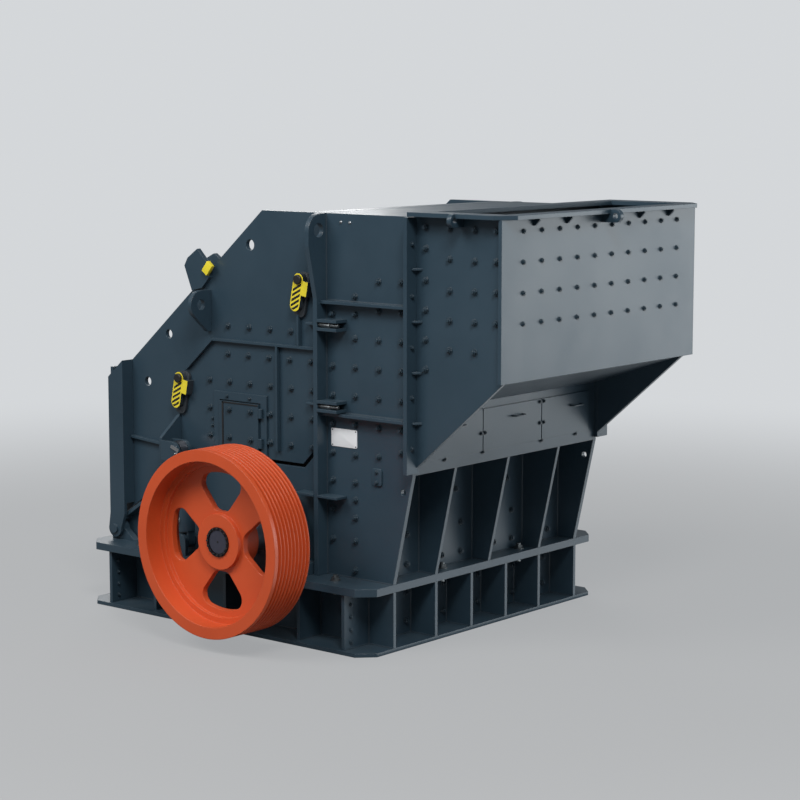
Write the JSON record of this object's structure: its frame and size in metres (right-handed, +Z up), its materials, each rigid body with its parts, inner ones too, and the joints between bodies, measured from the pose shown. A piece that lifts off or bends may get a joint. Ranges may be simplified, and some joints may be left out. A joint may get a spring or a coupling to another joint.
{
  "type": "horizontal shaft impact crusher",
  "caption": "Stationary impact crusher: ribbed welded frame with a bolted feed box, hinged rear frame, bladed rotor and a grooved belt pulley.",
  "frame": {"origin": "centre of the base's plan, on the underside of the sole plate", "axes": "+Z up, +X towards the feed box, -Y towards the drive pulley"},
  "size_m": [2.8869, 2.428, 2.247],
  "materials": {
    "frame_paint": "dark blue-grey satin paint over welded plate",
    "pulley_paint": "orange satin paint over machined casting",
    "wear_steel": "rough cast wear steel",
    "bare_steel": "ground steel",
    "dark_steel": "oiled dark steel",
    "keeper_paint": "yellow paint with black diagonal stripes"
  },
  "bodies": {
    "fixed_frame": {"sole_plate": "frame_paint", "base_end_webs": "frame_paint", "base_side_webs": "frame_paint", "base_ribs": "frame_paint", "top_flange": "frame_paint", "main_side_wall_near": "frame_paint", "main_side_wall_far": "frame_paint", "lower_side_walls": "frame_paint", "parting_flanges": "frame_paint", "rear_lower_wall": "frame_paint", "front_lower_wall": "frame_paint", "front_ribs": "frame_paint", "front_shelf": "frame_paint", "front_wall": "frame_paint", "inspection_plates": "frame_paint", "joint_flanges": "frame_paint", "joint_clamps": "frame_paint", "feed_flanges": "frame_paint", "wall_stiffeners": "frame_paint", "roof_plate": "frame_paint", "feed_box_front": "frame_paint", "feed_box_side_near": "frame_paint", "feed_box_side_far": "frame_paint", "feed_box_floor": "frame_paint", "feed_box_rim": "frame_paint", "rim_gussets": "frame_paint", "feed_box_lugs": "frame_paint", "bearing_housings": "frame_paint", "hinge_brackets": "frame_paint", "cylinder_brackets": "frame_paint"},
    "rotor": {"rotor_shaft": "bare_steel", "rotor_drum": "wear_steel", "blow_bars": "wear_steel", "drive_pulley": "pulley_paint", "pulley_locking_ring": "dark_steel"},
    "rear_frame": {"rear_cheek_near": "frame_paint", "rear_cheek_far": "frame_paint", "rear_top_plate": "frame_paint", "rear_slope_plate": "frame_paint", "rear_end_plate": "frame_paint", "rear_flanges": "frame_paint", "cheek_ribs": "frame_paint", "cheek_lugs": "frame_paint", "curtain_keepers": "keeper_paint", "upper_curtain": "wear_steel", "lower_curtain": "wear_steel", "curtain_adjusters": "frame_paint", "rear_columns": "frame_paint", "cylinder_clevises": "frame_paint", "door_frame": "frame_paint"},
    "inspection_door": {"inspection_door": "frame_paint"},
    "barrel_near": {"cylinder_barrel_near": "frame_paint"},
    "barrel_far": {"cylinder_barrel_far": "frame_paint"},
    "rod_near": {"cylinder_rod_near": "bare_steel"},
    "rod_far": {"cylinder_rod_far": "bare_steel"}
  },
  "joints": [
    {"name": "rotor_spin", "type": "hinge", "parent": "fixed_frame", "child": "rotor", "pos_m": [0.31, 0, 0.562], "axis": [0, 1, 0], "continuous": true},
    {"name": "rear_frame_open", "type": "hinge", "parent": "fixed_frame", "child": "rear_frame", "pos_m": [-0.932, 0, 0.413], "axis": [0, -1, 0], "range_deg": [0, 32]},
    {"name": "inspection_door_swing", "type": "hinge", "parent": "rear_frame", "child": "inspection_door", "pos_m": [0.139, -0.8233, 1.07], "axis": [0, 0, 1], "range_deg": [0, 100]},
    {"name": "cylinder_tilt_near", "type": "hinge", "parent": "fixed_frame", "child": "barrel_near", "pos_m": [-0.34, -0.905, 0.425], "axis": [0, -1, 0], "range_deg": [0, 25]},
    {"name": "cylinder_stroke_near", "type": "slide", "parent": "barrel_near", "child": "rod_near", "axis": [-0.1228, 0, 0.9924], "range_m": [0, 0.318]},
    {"name": "cylinder_tilt_far", "type": "hinge", "parent": "fixed_frame", "child": "barrel_far", "pos_m": [-0.34, 0.905, 0.425], "axis": [0, -1, 0], "range_deg": [0, 25]},
    {"name": "cylinder_stroke_far", "type": "slide", "parent": "barrel_far", "child": "rod_far", "axis": [-0.1228, 0, 0.9924], "range_m": [0, 0.318]}
  ],
  "couplings": [
    {"joint": "cylinder_tilt_near", "follows": "rear_frame_open", "ratio": 0.74},
    {"joint": "cylinder_stroke_near", "follows": "rear_frame_open", "m_per_rad": 0.568},
    {"joint": "cylinder_tilt_far", "follows": "rear_frame_open", "ratio": 0.74},
    {"joint": "cylinder_stroke_far", "follows": "rear_frame_open", "m_per_rad": 0.568}
  ]
}
